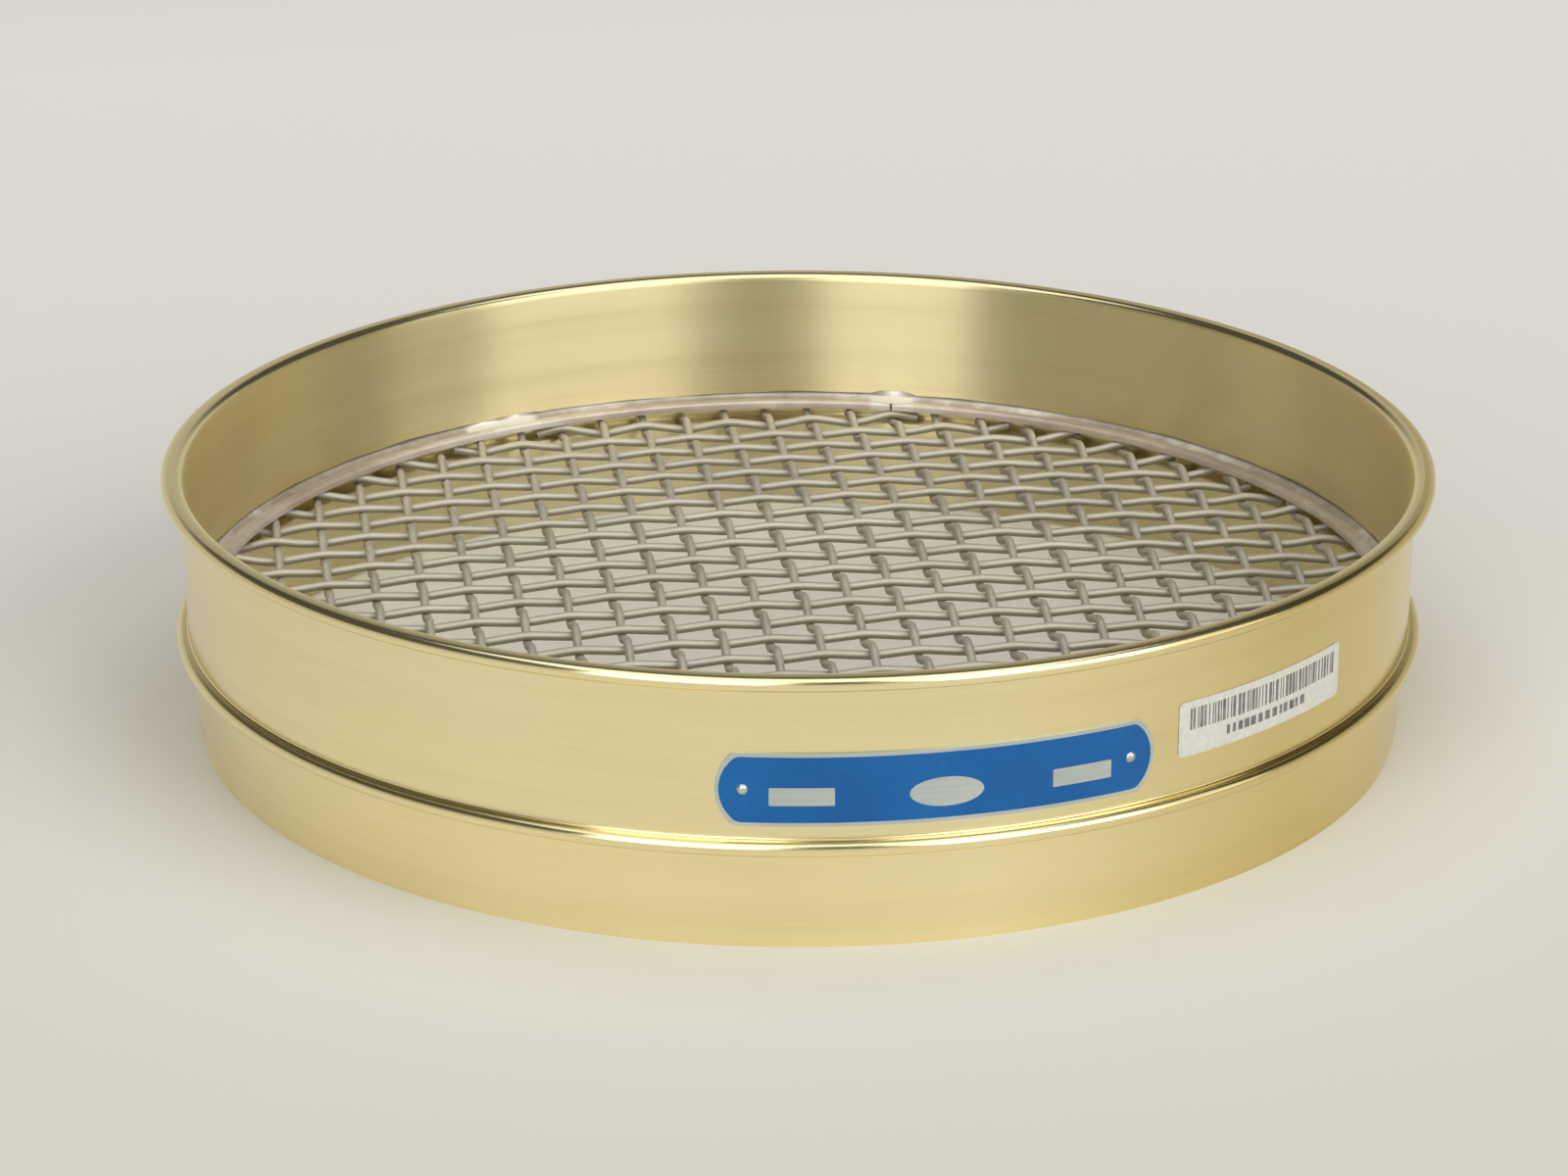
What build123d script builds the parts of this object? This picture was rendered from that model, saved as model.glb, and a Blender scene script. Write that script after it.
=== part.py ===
from build123d import *

import os
from math import cos, degrees, radians, sin, sqrt

# Laboratory test sieve: a spun brass frame with a rolled rim and a nesting skirt, carrying a disc
# of plain-woven wire cloth that a soldered split ring holds down. Millimetres, +Z up, origin at
# the centre of the bottom edge, nameplate facing -Y.

# Frame, spun from one sheet
inside_radius = 152.4       # bore above the cloth, 12 in across
sheet = 0.9                 # sheet thickness
total_height = 67.0         # bottom edge to the top of the rim
rim_width = 5.8             # radial width of the rolled rim
rim_height = 3.4            # height of the rolled rim
rim_inner_bend = 1.7        # mid-sheet radius where the wall turns over into the rim
curl_gap = 0.15             # gap between the curled-under edge and the wall
rib_reach = 2.8             # how far the stacking rib stands out from the wall
rib_height = 3.6            # height of the folded rib
wall_bend = 0.9             # mid-sheet radius where the wall turns out into the rib
seat_level = 33.6           # the bore is straight above this level and draws in below it
seat_draw = 0.1             # how far the wall draws in at the shoulder
ledge_bend = 0.5            # mid-sheet radius where the rib turns down into the skirt
skirt_height = 23.5         # bottom edge to the underside of the rib
nesting_clearance = 0.8     # skirt to the bore of the sieve below, on the radius
lead_in_height = 4.0        # top of the tapered stretch at the foot of the skirt
lead_in_depth = 0.5         # how far the foot draws in
foot_height = 0.8           # upright edge below the taper

# Woven wire cloth
aperture = 9.5              # clear opening between wires
wire_diameter = 2.24
wire_sides = 4              # the round wire is drawn with four flats
cloth_turn = -4.2           # degrees from +X to the weft
cloth_crown = 3.0           # rise of the cloth at its middle
cloth_wall_gap = 0.4        # wire ends to the wall

# Retaining ring and its solder
ring_width = 4.6
ring_height = 2.2
ring_wall_gap = 0.1
ring_edge = 0.8             # rounding of the ring's upper inner edge
ring_joint_angle = 157.5    # degrees from the nameplate towards +X
ring_joint_gap = 0.6
seam_wall_gap = 0.05
seam_height = 1.4           # solder fillet up the wall
seam_width = 2.2            # solder fillet across the ring
seam_waist = 0.7            # depth of the fillet at the middle of its hollow face
drop_height = 2.0           # lump of solder over the ring's joint, up the wall
drop_width = 4.0            # the same across the ring
drop_length = 8.0           # the same round the ring

# Nameplate and its rivets
plate_length = 102.4        # measured round the wall
plate_height = 17.4
plate_thickness = 0.5
plate_level = 39.2          # middle of the plate above the bottom edge
plate_bow = 4.0             # bulge of each rounded end
plate_corner = 1.0
rivet_inset = 6.0           # rivet to the end of the plate
rivet_radius = 0.75
rivet_clearance = 0.05
rivet_head_radius = 1.3
rivet_head_height = 0.7
rivet_head_round = 0.55     # rounding of the head's rim
rivet_tail_radius = 1.15
rivet_tail_height = 0.4
rivet_seat = 0.02           # play under the head and the tail

# Paper label
label_length = 57.0         # measured round the wall
label_height = 13.2
label_thickness = 0.15
label_paste = 0.05          # film of paste under the label
label_level = 42.4          # middle of the label above the bottom edge
label_angle = 32.5          # degrees from the nameplate towards +X
label_corner = 1.2

os.makedirs("parts", exist_ok=True)

# Radii and levels of the sheet's middle, and of the ledge that the cloth lies on
wall_outside = inside_radius + sheet
wall_mid = inside_radius + sheet / 2
seat_mid = wall_mid - seat_draw
skirt_mid = inside_radius - nesting_clearance - sheet / 2
foot_mid = skirt_mid - lead_in_depth
rim_top_mid = total_height - sheet / 2
rim_under_mid = total_height - rim_height + sheet / 2
rim_outer_bend = (rim_height - sheet) / 2
rim_outer_centre = inside_radius + rim_width - sheet / 2 - rim_outer_bend
rim_inner_centre = wall_mid + rim_inner_bend
rib_top_mid = skirt_height + rib_height - sheet / 2
rib_under_mid = skirt_height + sheet / 2
rib_bend = (rib_height - sheet) / 2
rib_bend_centre = wall_outside + rib_reach - sheet / 2 - rib_bend
ledge_level = skirt_height + sheet

# Straight runs between crossings slope, so each wire stands a little taller than its diameter
pitch = aperture + wire_diameter
wire_radius = wire_diameter / 2
crimp = wire_radius / sqrt(1 - (wire_diameter / pitch) ** 2)
seat_radius = inside_radius - seat_draw
cloth_radius = seat_radius - cloth_wall_gap
cloth_middle = ledge_level + 2 * crimp

ring_outside = seat_radius - ring_wall_gap
ring_inside = ring_outside - ring_width
ring_middle = (ring_inside + ring_outside) / 2
ring_level = ledge_level + 4 * crimp
ring_top = ring_level + ring_height
seam_outside = seat_radius - seam_wall_gap
drop_arc = degrees(drop_length / seam_outside)
crown_radius = ring_inside - pitch

plate_outside = wall_outside + plate_thickness
plate_half_angle = plate_length / 2 / plate_outside
plate_half_chord = plate_outside * sin(plate_half_angle)
rivet_angle = degrees((plate_length / 2 - rivet_inset) / plate_outside)
label_inside = wall_outside + label_paste
label_outside = label_inside + label_thickness


def at_angle(angle, radius, level):
    """Point at an angle from the nameplate (-Y) towards +X."""
    return (radius * sin(radians(angle)), -radius * cos(radians(angle)), level)


def facing(angle, radius, level):
    """Plane square to the wall at that point, looking outwards with its y upwards."""
    return Plane(
        origin=at_angle(angle, radius, level),
        x_dir=at_angle(angle + 90, 1, 0),
        z_dir=at_angle(angle, 1, 0),
    )


def keep_part(builder, name):
    """Label a finished piece and write it to its own file."""
    builder.part.label = name
    export_step(builder.part, f"parts/{name}.step")


rivet_planes = [facing(side * rivet_angle, plate_outside, plate_level) for side in (-1, 1)]

# The frame is one sheet of even thickness, so its section follows the middle of the sheet, from the
# curled-under edge of the rim down to the foot of the skirt
with BuildPart() as sieve_frame:
    with BuildSketch(Plane.XZ):
        with BuildLine():
            Line((wall_outside + curl_gap, rim_under_mid), (rim_outer_centre, rim_under_mid))
            CenterArc((rim_outer_centre, rim_under_mid + rim_outer_bend), rim_outer_bend, -90, 180)
            Line((rim_outer_centre, rim_top_mid), (rim_inner_centre, rim_top_mid))
            CenterArc((rim_inner_centre, rim_top_mid - rim_inner_bend), rim_inner_bend, 90, 90)
            Line((wall_mid, rim_top_mid - rim_inner_bend), (wall_mid, seat_level))
            Line((wall_mid, seat_level), (seat_mid, rib_top_mid + wall_bend))
            CenterArc((seat_mid + wall_bend, rib_top_mid + wall_bend), wall_bend, 180, 90)
            Line((seat_mid + wall_bend, rib_top_mid), (rib_bend_centre, rib_top_mid))
            CenterArc((rib_bend_centre, rib_under_mid + rib_bend), rib_bend, 90, -180)
            Line((rib_bend_centre, rib_under_mid), (skirt_mid + ledge_bend, rib_under_mid))
            CenterArc((skirt_mid + ledge_bend, rib_under_mid - ledge_bend), ledge_bend, 90, 90)
            Line((skirt_mid, rib_under_mid - ledge_bend), (skirt_mid, lead_in_height))
            Line((skirt_mid, lead_in_height), (foot_mid, foot_height))
            Line((foot_mid, foot_height), (foot_mid, 0))
        trace(line_width=sheet)
    revolve(axis=Axis.Z)
    with Locations(rivet_planes):
        Hole(rivet_radius + rivet_clearance, depth=plate_thickness + 2 * sheet)
keep_part(sieve_frame, "sieve_frame")

# The retaining ring is a bar bent to a circle, with an open joint
with BuildPart() as retaining_ring:
    with BuildSketch(Plane.XZ):
        with Locations((ring_middle, ring_level)):
            bar = Rectangle(ring_width, ring_height, align=(Align.CENTER, Align.MIN))
        fillet(bar.vertices().group_by(Axis.X)[0].sort_by(Axis.Z)[-1], ring_edge)
    revolve(axis=Axis.Z)
    with BuildSketch(Plane.XY.offset(ring_level)):
        with PolarLocations(ring_middle, 1, start_angle=ring_joint_angle - 90):
            Rectangle(2 * ring_width, ring_joint_gap)
    extrude(amount=ring_height, mode=Mode.SUBTRACT)
keep_part(retaining_ring, "retaining_ring")

# Solder runs round the corner between ring and wall, and stands up in a lump over the open joint
with BuildPart() as solder_seam:
    with BuildSketch(Plane.XZ):
        with BuildLine():
            Polyline(
                (seam_outside, ring_top),
                (seam_outside - seam_width, ring_top),
                (seam_outside - seam_waist, ring_top + seam_waist),
                (seam_outside, ring_top + seam_height),
                close=True,
            )
        make_face()
    revolve(axis=Axis.Z)
    lump_start = ring_joint_angle - drop_arc / 2
    with BuildSketch(Plane((0, 0, 0), at_angle(lump_start, 1, 0), at_angle(lump_start - 90, 1, 0))):
        with BuildLine():
            lump_foot = (seam_outside, ring_top)
            lump = EllipticalCenterArc(lump_foot, drop_width, drop_height, start_angle=90, arc_size=90)
            Polyline(lump @ 1, lump_foot, lump @ 0)
        make_face()
    revolve(axis=Axis.Z, revolution_arc=drop_arc)
keep_part(solder_seam, "solder_seam")


def cloth_height(x, y):
    """Height of the middle of the cloth, which is flat at its edge and crowned inside."""
    return cloth_middle + cloth_crown * max(0, 1 - (x**2 + y**2) / crown_radius**2)


def woven_wire(row, turn, side, name):
    """A crimped wire that passes to one side of the cloth at each even crossing."""
    across = row * pitch
    half_run = sqrt(cloth_radius**2 - (abs(across) + wire_radius) ** 2)
    crossings = int(half_run // pitch)
    if half_run - crossings * pitch < wire_radius / 2:
        crossings -= 1
        half_run = (crossings + 1) * pitch - wire_diameter
    tail = (half_run - crossings * pitch) / pitch
    stops = [(step * pitch, (-1) ** (row + step)) for step in range(-crossings, crossings + 1)]
    tail_lift = stops[-1][1] * (1 - 2 * tail)
    stops = [(-half_run, tail_lift), *stops, (half_run, tail_lift)]
    points = []
    for along, lift in stops:
        x = along * cos(radians(turn)) - across * sin(radians(turn))
        y = along * sin(radians(turn)) + across * cos(radians(turn))
        points.append((x, y, cloth_height(x, y) + side * crimp * lift))
    level_across = (-sin(radians(turn)), cos(radians(turn)), 0)
    with BuildPart() as wire:
        with BuildLine() as run:
            Polyline(*points)
        with BuildSketch(Plane(origin=run.line @ 0, x_dir=level_across, z_dir=run.line % 0)):
            RegularPolygon(wire_radius, wire_sides, rotation=90)
        sweep(transition=Transition.RIGHT)
    keep_part(wire, name)


# Warp and weft lie at right angles, one over and one under at every crossing
wire_rows = int((ring_inside - wire_radius) // pitch)
for row in range(-wire_rows, wire_rows + 1):
    number = f"{row + wire_rows + 1:02d}"
    woven_wire(row, cloth_turn, 1, f"weft_wire_{number}")
    woven_wire(row, cloth_turn + 90, -1, f"warp_wire_{number}")

# The nameplate is rolled to the wall, and its outline is cut square to its middle
with BuildPart() as nameplate:
    with BuildSketch(Plane.XY.offset(plate_level - plate_height / 2)):
        Circle(plate_outside)
        Circle(wall_outside, mode=Mode.SUBTRACT)
    extrude(amount=plate_height)
    with BuildSketch(Plane.XZ):
        with BuildLine():
            top_end = (plate_half_chord - plate_bow, plate_level + plate_height / 2)
            low_end = (plate_half_chord - plate_bow, plate_level - plate_height / 2)
            tip = (plate_half_chord, plate_level)
            Line((0, plate_level + plate_height / 2), top_end)
            ThreePointArc(top_end, tip, low_end)
            Line(low_end, (0, plate_level - plate_height / 2))
            mirror(about=Plane.YZ)
        make_face()
        ends = vertices().group_by(Axis.X)
        fillet(ends[0] + ends[-1], plate_corner)
    extrude(amount=2 * plate_outside, mode=Mode.INTERSECT)
    with Locations(rivet_planes):
        Hole(rivet_radius + rivet_clearance, depth=2 * plate_thickness)
keep_part(nameplate, "nameplate")

# Each rivet has a domed head on the plate and a flat tail inside the wall
rivet_grip = plate_thickness + sheet + 2 * rivet_seat
for plane, hand in zip(rivet_planes, ("left", "right")):
    head_plane = plane.offset(rivet_seat)
    with BuildPart() as rivet:
        with BuildSketch(head_plane):
            Circle(rivet_head_radius)
        extrude(amount=rivet_head_height)
        head_rim = rivet.edges().sort_by(Axis(plane.origin, plane.z_dir))[-1]
        fillet(head_rim, rivet_head_round)
        with BuildSketch(head_plane):
            Circle(rivet_radius)
        extrude(amount=-rivet_grip)
        with BuildSketch(head_plane.offset(-rivet_grip)):
            Circle(rivet_tail_radius)
        extrude(amount=-rivet_tail_height)
    keep_part(rivet, f"nameplate_rivet_{hand}")

# The paper label is pasted flat to the wall
with BuildPart() as stock_label:
    with BuildSketch(Plane.XY.offset(label_level - label_height / 2)):
        Circle(label_outside)
        Circle(label_inside, mode=Mode.SUBTRACT)
    extrude(amount=label_height)
    with BuildSketch(facing(label_angle, 0, label_level)):
        label_chord = 2 * label_outside * sin(label_length / 2 / label_outside)
        RectangleRounded(label_chord, label_height, label_corner)
    extrude(amount=2 * label_outside, mode=Mode.INTERSECT)
keep_part(stock_label, "stock_label")
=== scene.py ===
# %% [markdown]
# # A laboratory test sieve
#
# The real sieve is a ring of spun brass with a disc of woven wire soldered into it, and a printed
# plate riveted to its front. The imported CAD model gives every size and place. This script draws
# the same pieces with their true finish: turned brass with brushing round it, drawn steel wire,
# soft solder, printed metal and paper.
#
# All lengths are written in millimetres and turned to metres by `MM`, because Blender works in
# metres here. The sieve's axis is Z, its foot stands at zero, and its nameplate faces -Y.

import random
from functools import partial
from math import atan2, cos, pi, radians, sin, sqrt

import bmesh
import bpy
from mathutils import Matrix, Vector


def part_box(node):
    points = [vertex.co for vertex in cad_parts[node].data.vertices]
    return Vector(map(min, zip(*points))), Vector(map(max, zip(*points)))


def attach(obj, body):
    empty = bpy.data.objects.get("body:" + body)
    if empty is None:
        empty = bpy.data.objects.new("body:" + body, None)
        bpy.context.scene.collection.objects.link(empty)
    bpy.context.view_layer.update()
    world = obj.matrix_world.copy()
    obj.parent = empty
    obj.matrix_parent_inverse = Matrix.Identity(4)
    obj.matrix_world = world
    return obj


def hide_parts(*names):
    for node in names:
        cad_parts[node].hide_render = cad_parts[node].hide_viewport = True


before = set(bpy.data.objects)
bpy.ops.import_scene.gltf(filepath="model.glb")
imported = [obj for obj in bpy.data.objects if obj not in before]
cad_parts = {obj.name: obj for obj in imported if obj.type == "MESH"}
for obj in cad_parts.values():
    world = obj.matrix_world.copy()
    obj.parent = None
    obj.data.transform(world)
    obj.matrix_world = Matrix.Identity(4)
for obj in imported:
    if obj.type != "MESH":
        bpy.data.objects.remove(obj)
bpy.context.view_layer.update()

MM = 0.001

# %% [markdown]
# ## Sizes
#
# A few sizes drive the rest. The wall's bore and the total height come from the CAD nodes
# themselves, so that the drawn pieces follow the frame if it changes.

# %% Sizes of the spun frame
low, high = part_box("sieve_frame")
total_height = (high[2] - low[2]) / MM
rim_outside = (high[0] - low[0]) / 2 / MM

rim_width = 5.8             # radial width of the rolled rim
inside_radius = rim_outside - rim_width
sheet = 0.9                 # thickness of the sheet
wall_outside = inside_radius + sheet
rim_height = 3.4
rim_inner_bend = 1.7        # mid-sheet radius where the wall turns over into the rim
curl_gap = 0.15             # curled-under edge to the wall
rib_reach = 2.8             # how far the stacking rib stands out from the wall
rib_height = 3.6
wall_bend = 0.9             # mid-sheet radius where the wall turns out into the rib
seat_level = 33.6           # the wall draws in a little below this level
seat_draw = 0.1
ledge_bend = 0.5            # mid-sheet radius where the rib turns down into the skirt
skirt_height = 23.5         # foot to the underside of the rib
nesting_clearance = 0.8     # skirt to the bore of the sieve below
lead_in_height = 4.0        # top of the tapered stretch at the foot
lead_in_depth = 0.5
foot_height = 0.8           # upright edge below the taper
print("bore", round(2 * inside_radius, 1), "mm, height", round(total_height, 1), "mm")

# %% Sizes of the cloth and the ring
aperture = 9.5              # clear opening between wires
wire_diameter = 2.24
wire_radius = wire_diameter / 2
pitch = aperture + wire_diameter
cloth_turn = radians(-4.2)  # from +X to the weft
cloth_crown = 3.0           # rise of the cloth at its middle
ledge_level = skirt_height + sheet
crimp = wire_radius / sqrt(1 - (wire_diameter / pitch) ** 2)
cloth_middle = ledge_level + 2 * crimp
cloth_radius = inside_radius - 0.5  # the wires stop short of the wall

ring_low, ring_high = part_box("retaining_ring")
ring_outside = (ring_high[0] - ring_low[0]) / 2 / MM
ring_width = 4.6
ring_inside = ring_outside - ring_width
ring_level = ring_low[2] / MM
ring_top = ring_high[2] / MM
crown_radius = ring_inside - pitch
joint_angle = 157.5         # where the ring's ends meet, in degrees from the nameplate
second_lump_angle = 199.0   # where the solder has a second lump
print("cloth pitch", pitch, "mm, ring from", round(ring_level, 2), "to", round(ring_top, 2), "mm")


# %% [markdown]
# ## Places round the wall
#
# Everything here sits on a cylinder, so places are given by an angle from the nameplate, a radius
# and a level. A flat drawing in (along, level) is rolled onto the wall by the same rule that a
# metal shop uses: a length along the drawing becomes a length of arc.

# %% Helpers for places
def around(turn, radius, level):
    """Point at a turn from the nameplate (-Y) towards +X, in metres."""
    return Vector((radius * sin(turn), -radius * cos(turn), level)) * MM


def rolled(along, level, radius):
    """Point of a flat drawing once it is rolled to a radius. along is measured at the wall."""
    return around(along / wall_outside, radius, level)


def keep_mesh(name, mesh, material, node_names):
    """Put a finished mesh in the scene under the root body, and hide the CAD parts that it stands
    for.
    """
    piece = bpy.data.objects.new(name, mesh)
    bpy.context.scene.collection.objects.link(piece)
    mesh.materials.clear()
    mesh.materials.append(material)
    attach(piece, "root")
    if node_names:
        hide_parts(*node_names)
    print(name, len(mesh.polygons), "faces")


def smooth(mesh, crease=radians(38)):
    """Smooth shading that keeps edges sharper than the crease."""
    mesh.polygons.foreach_set("use_smooth", [True] * len(mesh.polygons))
    mesh.set_sharp_from_angle(angle=crease)
    return mesh


# %% [markdown]
# ## Helpers for Geometry Nodes and materials
#
# A node tree is built by naming the node and its inputs. `link_in` either wires a socket or sets
# its value, and `arithmetic` gives the four common Math nodes short names, which keeps the trees
# below short enough to read.

# %% Helpers for node trees
def link_in(tree, socket, value):
    """Wire a socket to another, or set its value."""
    if isinstance(value, bpy.types.NodeSocket):
        tree.links.new(value, socket)
    elif value is not None:
        socket.default_value = value


def node(tree, kind, inputs=None, **settings):
    """Add a node with its settings, and fill its inputs by name or number."""
    made = tree.nodes.new(kind)
    for key, value in settings.items():
        setattr(made, key, value)
    for key, value in (inputs or {}).items():
        link_in(tree, made.inputs[key], value)
    return made


def calc(tree, operation, first, second=None):
    """One Math node. Its output socket is returned."""
    return node(tree, "ShaderNodeMath", {0: first, 1: second}, operation=operation).outputs[0]


def arithmetic(tree):
    """Short names for four Math nodes: add, take away, multiply and divide."""
    return [partial(calc, tree, name) for name in ("ADD", "SUBTRACT", "MULTIPLY", "DIVIDE")]


def new_tree(name, numbers, counts):
    """A Geometry Nodes tree with a geometry input and output, and named inputs."""
    tree = bpy.data.node_groups.new(name, "GeometryNodeTree")
    inputs = [("Geometry", "Geometry")] + [(label, "Float") for label in numbers]
    inputs += [(label, "Int") for label in counts] + [("Material", "Material")]
    for label, kind in inputs:
        tree.interface.new_socket(label, in_out="INPUT", socket_type="NodeSocket" + kind)
    tree.interface.new_socket("Geometry", in_out="OUTPUT", socket_type="NodeSocketGeometry")
    return tree


def finish_tree(tree, geometry, material):
    """Make the geometry real, give it its material, and send it out."""
    real = node(tree, "GeometryNodeRealizeInstances", {"Geometry": geometry})
    named = node(tree, "GeometryNodeSetMaterial", {
        "Geometry": real.outputs[0], "Material": material,
    })
    node(tree, "NodeGroupOutput", {"Geometry": named.outputs[0]})


def run_tree(tree, name, values, source=None):
    """Run a tree on a mesh (or on nothing) and return the plain mesh that it makes."""
    holder = bpy.data.objects.new(name + ".holder", source or bpy.data.meshes.new(name + ".seed"))
    bpy.context.scene.collection.objects.link(holder)
    modifier = holder.modifiers.new("nodes", "NODES")
    modifier.node_group = tree
    for item in tree.interface.items_tree:
        if item.in_out == "INPUT" and item.name in values:
            modifier[item.identifier] = values[item.name]
    evaluated = holder.evaluated_get(bpy.context.evaluated_depsgraph_get())
    mesh = bpy.data.meshes.new_from_object(evaluated)
    mesh.name = name
    holder.modifiers.remove(modifier)
    bpy.data.objects.remove(holder)
    return mesh


# %% Helpers for materials
def new_material(name):
    """A material with its Principled shader, and the node tree to add to."""
    material = bpy.data.materials.new(name)
    material.use_nodes = True
    tree = material.node_tree
    return material, tree, tree.nodes["Principled BSDF"]


def distance(tree, x, y):
    """Distance from the axis."""
    add, _, times, _ = arithmetic(tree)
    return calc(tree, "SQRT", add(times(x, x), times(y, y)))


def object_noise(tree, scale, detail):
    """Noise in Object coordinates, so it stays with the piece."""
    place = node(tree, "ShaderNodeTexCoord").outputs["Object"]
    noise = node(tree, "ShaderNodeTexNoise", {"Vector": place, "Scale": scale, "Detail": detail})
    return noise.outputs["Fac"]


def blend(tree, *pairs):
    """Sum of sockets, each times its weight."""
    add, _, times, _ = arithmetic(tree)
    total = times(*pairs[0])
    for value, weight in pairs[1:]:
        total = add(total, times(value, weight))
    return total


def ramp(tree, factor, stops):
    """A colour ramp from (position, colour) pairs."""
    made = node(tree, "ShaderNodeValToRGB", {"Fac": factor})
    elements = made.color_ramp.elements
    while len(elements) < len(stops):
        elements.new(0.5)
    for element, (position, colour) in zip(elements, stops):
        element.position = position
        element.color = (*colour, 1)
    return made.outputs["Color"]


def spread(tree, factor, low_value, high_value, from_low=0.3, from_high=0.7):
    """Map a noise's middle range, or another range, to a range of values."""
    made = node(tree, "ShaderNodeMapRange", {
        "Value": factor, "From Min": from_low, "From Max": from_high,
        "To Min": low_value, "To Max": high_value,
    })
    return made.outputs["Result"]


def mix_colour(tree, factor, first, second, **settings):
    """From the first colour to the second by a factor. A colour is a socket or three numbers."""
    made = node(tree, "ShaderNodeMix", {"Factor": factor}, data_type="RGBA", **settings)
    for name, colour in (("A", first), ("B", second)):
        fixed = not isinstance(colour, bpy.types.NodeSocket)
        link_in(tree, made.inputs[name], (*colour, 1) if fixed else colour)
    return made.outputs["Result"]


def finish_shader(tree, shader, colour, roughness, metallic=0.0, relief=None):
    """Set what each material sets. relief is a bump's (height, strength, depth)."""
    link_in(tree, shader.inputs["Base Color"], colour)
    link_in(tree, shader.inputs["Roughness"], roughness)
    link_in(tree, shader.inputs["Metallic"], metallic)
    if relief:
        height, strength, depth = relief
        bump = node(tree, "ShaderNodeBump", {
            "Height": height, "Strength": strength, "Distance": depth,
        })
        link_in(tree, shader.inputs["Normal"], bump.outputs[0])


# %% [markdown]
# ## Brass
#
# The frame is turned on a lathe, so its marks run round the axis. On such a surface a light
# doesn't show as a spot but as a streak across the marks: up and down the wall. The shader's
# anisotropy does that, with a tangent that circles Z. The fine lines themselves are noise that is
# stretched round the axis: read in (angle, radius, level), and squeezed in level. The outside and
# the rim were polished bright. The inside was left with coarser marks, so it is rougher there.

# %% Polar coordinates and brushing
def polar(tree):
    """Sockets of angle, radius and level, and of the place itself, from Object coordinates."""
    place = node(tree, "ShaderNodeTexCoord").outputs["Object"]
    x, y, z = node(tree, "ShaderNodeSeparateXYZ", {0: place}).outputs
    return calc(tree, "ARCTAN2", y, x), distance(tree, x, y), z, place


def stretched_noise(tree, along, across, detail):
    """Noise in polar coordinates: one scale round the axis, and one for radius and level."""
    _, _, times, _ = arithmetic(tree)
    angle, radius, z, _ = polar(tree)
    point = node(tree, "ShaderNodeCombineXYZ", {
        0: times(angle, along), 1: times(radius, across), 2: times(z, across),
    })
    noise = node(tree, "ShaderNodeTexNoise", {
        "Vector": point.outputs[0], "Scale": 1.0, "Detail": detail,
    })
    return noise.outputs["Fac"]


# %% Brass of the frame
def make_brass():
    """Brass that was polished bright outside, and left with coarser turning marks inside."""
    material, tree, shader = new_material("turned_brass")
    add, less, times, _ = arithmetic(tree)
    _, _, level, place = polar(tree)
    lines = stretched_noise(tree, 3, 2500, 2.0)
    bands = stretched_noise(tree, 0.6, 160, 3.0)
    stain = object_noise(tree, 14.0, 3.0)
    colour = ramp(tree, blend(tree, (lines, 0.25), (bands, 0.4), (stain, 0.35)), [
        (0.30, (0.76, 0.67, 0.38)), (0.50, (0.84, 0.755, 0.46)), (0.72, (0.90, 0.82, 0.54)),
    ])
    # The outside is where the surface faces away from the axis
    outward = node(tree, "ShaderNodeVectorMath", {0: place, 1: (1, 1, 0)}, operation="MULTIPLY")
    facing = node(tree, "ShaderNodeVectorMath", {
        0: node(tree, "ShaderNodeNewGeometry").outputs["Normal"], 1: outward.outputs[0],
    }, operation="DOT_PRODUCT")
    outer = calc(tree, "GREATER_THAN", facing.outputs["Value"], 0.0)
    # On the outside, the right side is painted a deeper, darker brass: painted shade and reflection
    # of warm surroundings on that side
    sideways = node(tree, "ShaderNodeSeparateXYZ", {0: place}).outputs["X"]
    painted_right_shade = times(outer, spread(tree, sideways, 0.0, 1.0, 0.01, 0.09))
    colour = mix_colour(tree, painted_right_shade, colour, (0.80, 0.74, 0.56), blend_type="MULTIPLY")
    in_rim = calc(tree, "GREATER_THAN", level, (total_height - sheet) * MM)
    dull = less(1.0, calc(tree, "MAXIMUM", outer, in_rim))
    rough = add(spread(tree, lines, -0.02, 0.02), spread(tree, bands, 0.18, 0.22))
    rough = add(rough, times(dull, 0.17))
    finish_shader(tree, shader, colour, rough, 1.0, (lines, 0.04, 0.00004))
    link_in(tree, shader.inputs["Anisotropic"], add(0.7, times(dull, 0.3)))
    shader.inputs["Anisotropic Rotation"].default_value = 0.25
    tangent = node(tree, "ShaderNodeTangent", direction_type="RADIAL", axis="Z")
    link_in(tree, shader.inputs["Tangent"], tangent.outputs[0])
    return material


brass = make_brass()

# %% [markdown]
# ## The spun frame
#
# The real frame is one sheet, 0.9 mm thick, that a roller has pressed over a former: the edge is
# curled over at the top for the rim, folded out and back for the stacking rib, and drawn in below
# it for the skirt. Its section follows one rule all the way round, so it is drawn once as the
# middle line of the sheet, given its thickness, and carried round the axis by a small Geometry
# Nodes tree: a grid whose columns are angles and whose rows are points of the section.

# %% The middle line of the sheet
def arc(centre, radius, start, sweep, steps):
    """Points of an arc, ends included. Angles in degrees, as (radius, level) pairs."""
    turns = [radians(start + sweep * step / steps) for step in range(steps + 1)]
    return [(centre[0] + radius * cos(turn), centre[1] + radius * sin(turn)) for turn in turns]


def straight(start, end, steps):
    """Points of a straight run, ends included."""
    shares = [step / steps for step in range(steps + 1)]
    return [tuple(a + (b - a) * share for a, b in zip(start, end)) for share in shares]


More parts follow.
